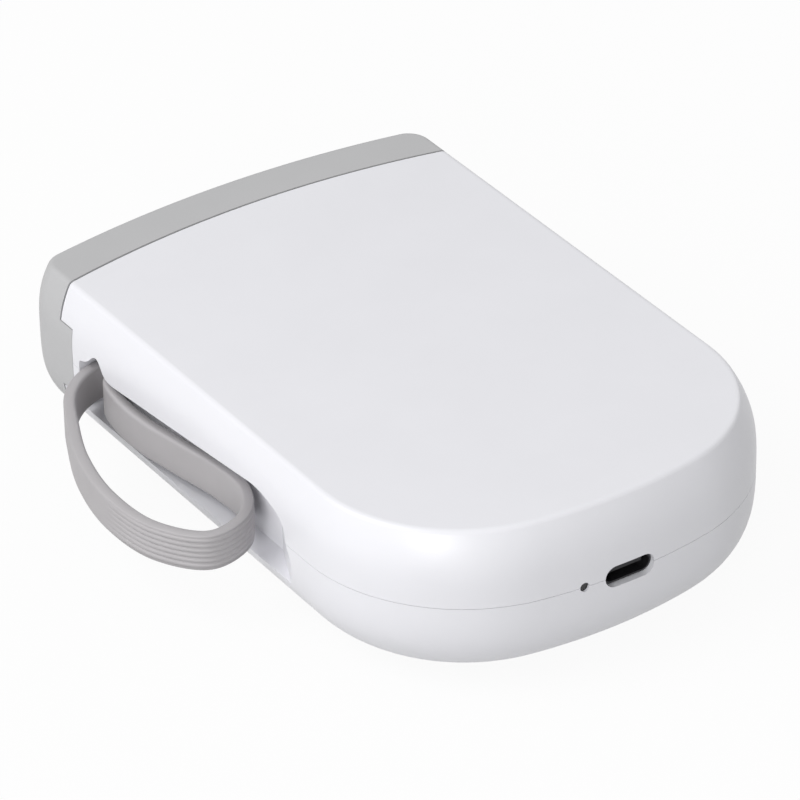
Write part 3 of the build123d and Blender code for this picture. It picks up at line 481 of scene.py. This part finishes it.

# %% [markdown]
# The copy stays on the casing in place of the springs from CAD, with a mesh
# of its own. It keeps its length as the head's joint moves.

# %% Put the copy in place of the springs
spring_low, spring_high = (Vector(corner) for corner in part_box("head_springs"))
coils = bpy.data.objects.new("head_coils", coil_mesh)
bpy.context.collection.objects.link(coils)
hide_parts("head_springs")
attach(coils, "casing")
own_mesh(coils)
print("spring length in mm:", round((spring_high.x - spring_low.x) / MM, 2))

# %% [markdown]
# ## The studio floor
#
# Small products are often shown on white paper under soft lamps. The floor
# is one large square, just below the printer's base.

# %% Floor
FLOOR_HALF, FLOOR_DROP = 6, 0.2 * MM
floor_mesh = bpy.data.meshes.new("studio_floor")
grid = bmesh.new()
bmesh.ops.create_grid(grid, x_segments=1, y_segments=1, size=FLOOR_HALF)
grid.to_mesh(floor_mesh)
grid.free()
floor = bpy.data.objects.new("studio_floor", floor_mesh)
floor.location.z = -FLOOR_DROP
bpy.context.collection.objects.link(floor)
print("floor of", 2 * FLOOR_HALF, "metres")

# %% [markdown]
# A floor that is only painted white looks grey, because the lamps that suit
# the printer are too weak for it. More light would bleach the printer. So
# the floor glows, but only for rays that come from the camera or from a
# reflection. A part of it stays paper that takes the printer's shadow. Other
# rays meet a greyer paper, so that it throws less light up at the printer.

# %% White paper
PAPER_TO_LIGHT, PAPER_TO_CAMERA = 0.45, 0.80
GLOW_SHARE = 0.93
studio_paper = bpy.data.materials.new("studio_white")
studio_paper.use_nodes = True
paper_tree = studio_paper.node_tree
paper_tree.nodes.clear()
new_node, link = paper_tree.nodes.new, paper_tree.links.new

rays = new_node("ShaderNodeLightPath")
matte = new_node("ShaderNodeBsdfDiffuse")
reply = new_node("ShaderNodeMapRange")
reply.inputs["To Min"].default_value = PAPER_TO_LIGHT
reply.inputs["To Max"].default_value = PAPER_TO_CAMERA
link(rays.outputs["Is Camera Ray"], reply.inputs["Value"])
link(reply.outputs["Result"], matte.inputs["Color"])
glow = new_node("ShaderNodeEmission")
glow.inputs["Strength"].default_value = 1.0
print("paper and glow ready")

# %% Mix the paper and its glow
seen = new_node("ShaderNodeMath")
seen.operation = "MAXIMUM"
link(rays.outputs["Is Camera Ray"], seen.inputs[0])
link(rays.outputs["Is Glossy Ray"], seen.inputs[1])
share = new_node("ShaderNodeMath")
share.operation = "MULTIPLY"
share.inputs[1].default_value = GLOW_SHARE
link(seen.outputs[0], share.inputs[0])
mix = new_node("ShaderNodeMixShader")
link(share.outputs[0], mix.inputs["Fac"])
link(matte.outputs[0], mix.inputs[1])
link(glow.outputs[0], mix.inputs[2])
link(mix.outputs[0], new_node("ShaderNodeOutputMaterial").inputs["Surface"])
floor_mesh.materials.append(studio_paper)
print("floor glows for the camera at", GLOW_SHARE)

# %% [markdown]
# ## Lamps
#
# Three round lamps stand a little over a metre away. The key lights the top
# and the strap's side from above, the front one opens up the rounded end, and
# the rim draws a soft edge on the far right. Large discs give soft shadows,
# which a small lamp can't.

# %% Three soft lamps
def lamp(name, spot, target, size, power):
    """Round lamp of a given width in metres that looks at a target."""
    light = bpy.data.lights.new(name, "AREA")
    light.shape = "DISK"
    light.size = size
    light.energy = power
    stand = bpy.data.objects.new(name, light)
    stand.location = spot
    stand.rotation_euler = (Vector(target) - Vector(spot)).to_track_quat("-Z", "Y").to_euler()
    bpy.context.collection.objects.link(stand)


lamp("key", (-0.9, 0.25, 1.1), (0, 0, 0.02), size=0.9, power=8.5)
lamp("front", (-0.95, -0.75, 0.42), (0, -0.02, 0.015), size=0.5, power=6.2)
lamp("rim", (0.9, 0.5, 0.5), (0, 0, 0.02), size=0.6, power=1.0)
print("lamps:", len(bpy.data.lights))

# %% [markdown]
# ## The sky
#
# White surroundings fill the shadows from all sides. The camera sees them at
# full strength, which is plain white, and the printer gets about half.

# %% White surroundings
SKY_TO_LIGHT, SKY_TO_CAMERA = 0.55, 1.0
scene = bpy.context.scene
scene.world = bpy.data.worlds.new("studio_sky")
scene.world.use_nodes = True
sky = scene.world.node_tree
background = sky.nodes["Background"]
background.inputs["Color"].default_value = (1, 1, 1, 1)
path = sky.nodes.new("ShaderNodeLightPath")
strength = sky.nodes.new("ShaderNodeMapRange")
strength.inputs["To Min"].default_value = SKY_TO_LIGHT
strength.inputs["To Max"].default_value = SKY_TO_CAMERA
sky.links.new(path.outputs["Is Camera Ray"], strength.inputs["Value"])
sky.links.new(strength.outputs["Result"], background.inputs["Strength"])
scene.view_settings.view_transform = "Standard"
print("sky set")

# %% [markdown]
# ## Camera
#
# The camera looks down on the rounded end from the strap's side. It stands
# almost a metre away with a long lens, which keeps the far end from looking
# much smaller than the near one, as in a product picture. Its angles come
# from matching the casing's outline to the photograph. A camera looks along
# its own -Z, so its turn is built from three arrows: right, up and back.

# %% Which way the camera faces
AZIMUTH, ELEVATION, ROLL = (math.radians(angle) for angle in (-33.405, 32.966, -0.982))
back = Vector((
    math.sin(AZIMUTH) * math.cos(ELEVATION),
    -math.cos(AZIMUTH) * math.cos(ELEVATION),
    math.sin(ELEVATION),
))
level_right = Vector((math.cos(AZIMUTH), math.sin(AZIMUTH), 0))
level_up = back.cross(level_right)
right = level_right * math.cos(ROLL) + level_up * math.sin(ROLL)
up = level_up * math.cos(ROLL) - level_right * math.sin(ROLL)
print("back arrow:", [round(part, 3) for part in back])

# %% Camera
AIM_HEIGHT, DISTANCE = 14.58 * MM, 0.9006
LENS, FILM_WIDTH = 254.35, 36
SHIFT_X, SHIFT_Y = -0.0173, 0.0101
NEAREST, FARTHEST = 0.01, 20
camera_data = bpy.data.cameras.new("camera")
camera_data.sensor_width = FILM_WIDTH
camera_data.lens = LENS
camera_data.shift_x, camera_data.shift_y = SHIFT_X, SHIFT_Y
camera_data.clip_start, camera_data.clip_end = NEAREST, FARTHEST
camera = bpy.data.objects.new("camera", camera_data)
camera.location = Vector((0, 0, AIM_HEIGHT)) + back * DISTANCE
camera.rotation_mode = "QUATERNION"
camera.rotation_quaternion = Matrix((right, up, back)).transposed().to_quaternion()
bpy.context.collection.objects.link(camera)
scene.camera = camera
print("camera at", [round(part, 3) for part in camera.location])
